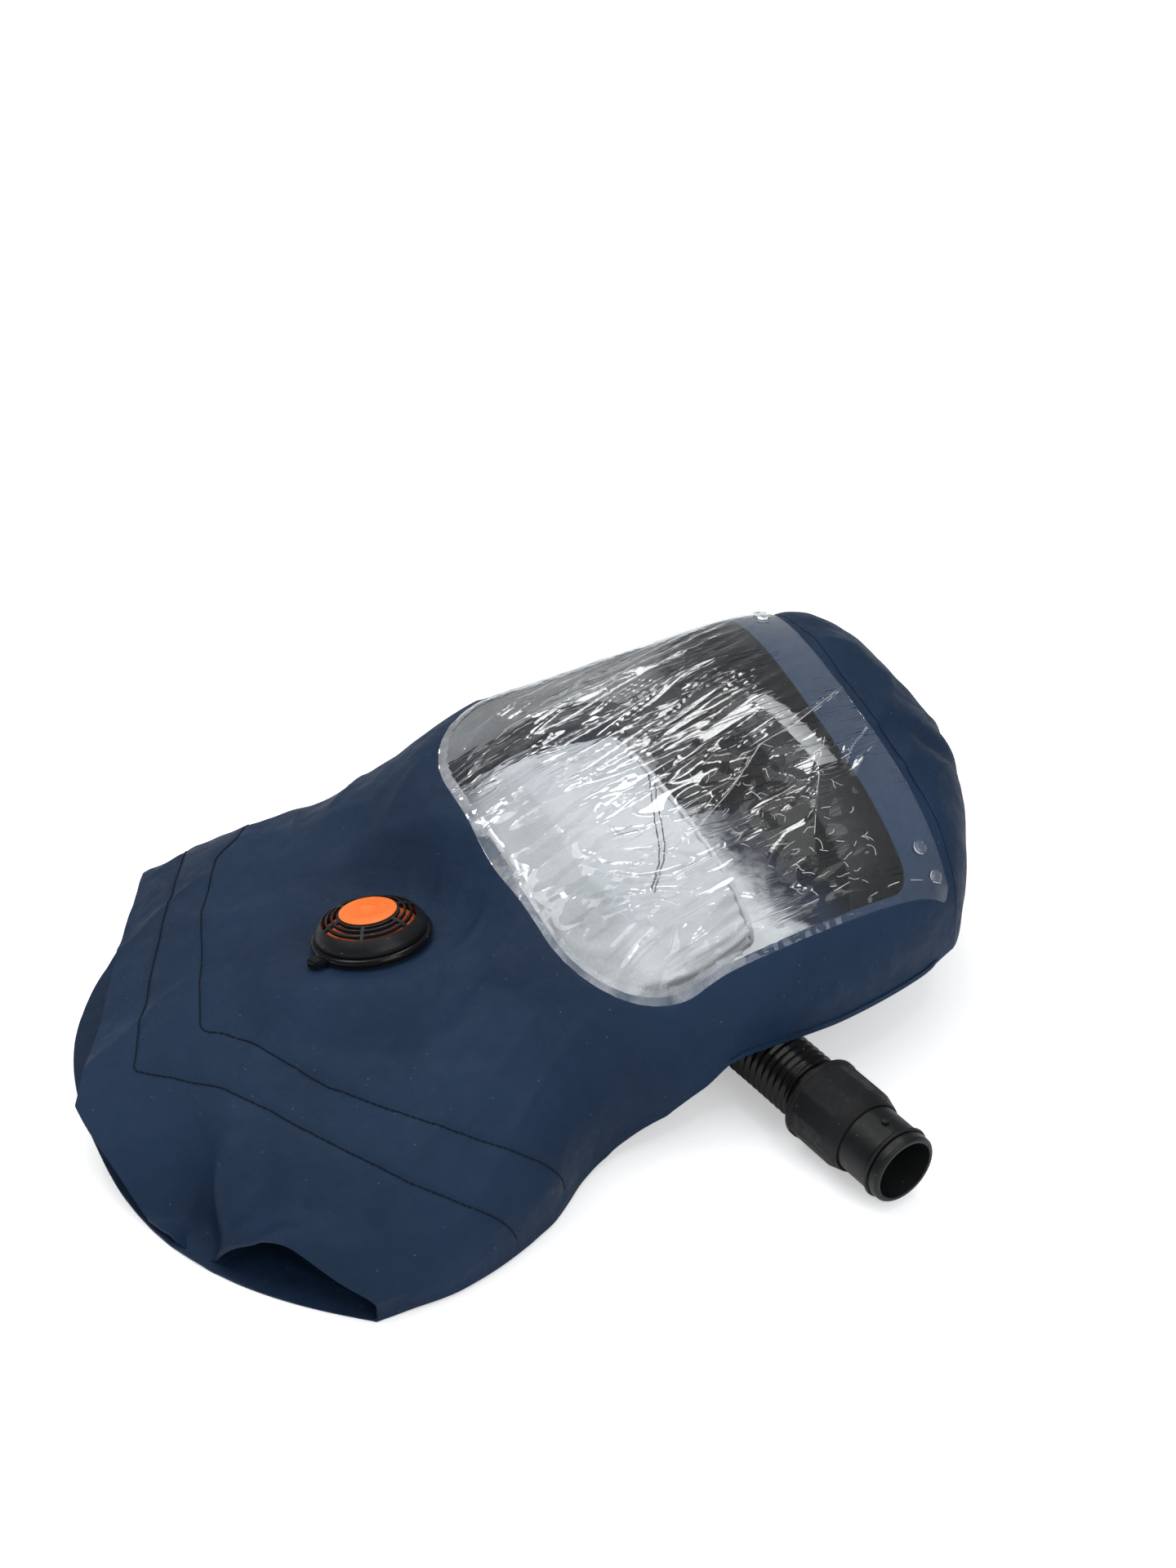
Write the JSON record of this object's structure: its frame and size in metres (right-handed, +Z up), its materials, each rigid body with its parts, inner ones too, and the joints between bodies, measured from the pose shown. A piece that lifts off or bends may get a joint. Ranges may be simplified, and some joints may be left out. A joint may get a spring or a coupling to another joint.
{
  "type": "smoke hood",
  "caption": "Loose navy respirator hood lying on its back, with a clear film visor, a round exhalation valve on the bib, a head harness inside and a short ribbed air hose.",
  "frame": {"origin": "middle of the bottom of the hood's bounding box, measured without the hose and its connector", "axes": "+X from the bib's hem to the crown, +Y to the far side away from the hose's free end, +Z up out of the visor"},
  "size_m": [0.6108, 0.4598, 0.1742],
  "materials": {
    "navy_cloth": "matte coated cloth",
    "clear_film": "clear flexible film",
    "pale_cloth": "matte cloth",
    "webbing": "matte webbing",
    "label_white": "bare woven strip",
    "black_plastic": "satin moulded",
    "gloss_black": "polished moulded",
    "black_rubber": "smooth",
    "orange_plastic": "satin moulded",
    "orange_rubber": "smooth"
  },
  "bodies": {
    "hood": {"front_panel": "navy_cloth", "crown_panel": "navy_cloth", "back_panel": "navy_cloth", "front_hem_facing": "navy_cloth", "back_hem_facing": "navy_cloth", "visor": "clear_film", "neck_collar": "pale_cloth", "neck_elastic": "webbing", "forehead_band": "webbing", "sweat_pad": "webbing", "crown_strap": "webbing", "side_strap": "webbing", "brow_strap": "webbing", "blank_label": "label_white", "visor_snap_1": "black_plastic", "visor_snap_2": "black_plastic", "visor_snap_3": "black_plastic", "visor_snap_4": "black_plastic", "valve_clamp_ring": "black_plastic", "inlet_elbow": "black_plastic", "inlet_clamp_ring": "black_plastic", "spigot": "black_plastic", "ratchet_housing": "black_plastic", "valve_base": "gloss_black", "valve_gasket": "black_rubber", "inlet_gasket": "black_rubber", "hose_cuff": "black_rubber", "spigot_o_ring": "black_rubber", "air_hose": "black_rubber", "valve_seat": "orange_plastic"},
    "valve_cover": {"valve_cover": "black_plastic", "valve_cap": "orange_plastic"},
    "exhale_flap": {"exhale_flap": "orange_rubber"},
    "coupling_nut": {"coupling_nut": "black_plastic"},
    "ratchet_knob": {"ratchet_knob": "black_plastic"},
    "band_tail_near": {"band_tail_near": "black_plastic"},
    "band_tail_far": {"band_tail_far": "black_plastic"}
  },
  "joints": [
    {"name": "valve_cover_lift", "type": "slide", "parent": "hood", "child": "valve_cover", "axis": [-0.0196, 0.1961, 0.9804], "range_m": [0, 0.03]},
    {"name": "exhale_flap_lift", "type": "slide", "parent": "hood", "child": "exhale_flap", "axis": [-0.0196, 0.1961, 0.9804], "range_m": [0, 0.002], "stiffness_N_per_m": 20, "springref_m": -0.002},
    {"name": "coupling_nut_turn", "type": "hinge", "parent": "hood", "child": "coupling_nut", "pos_m": [0.09207, -0.2026, 0.0274], "axis": [0.1392, -0.9903, 0], "continuous": true},
    {"name": "band_tail_near_slide", "type": "slide", "parent": "hood", "child": "band_tail_near", "axis": [0, -1, 0], "range_m": [-0.0099, 0.0099]},
    {"name": "harness_knob_turn", "type": "hinge", "parent": "hood", "child": "ratchet_knob", "pos_m": [0.18255, 0.008, 0.0785], "axis": [0, 0, 1], "range_deg": [-95, 95]},
    {"name": "band_tail_far_slide", "type": "slide", "parent": "hood", "child": "band_tail_far", "axis": [0, 1, 0], "range_m": [-0.0101, 0.0101]}
  ],
  "couplings": [
    {"joint": "harness_knob_turn", "follows": "band_tail_near_slide", "rad_per_m": 166.67},
    {"joint": "band_tail_far_slide", "follows": "band_tail_near_slide", "ratio": 1}
  ]
}
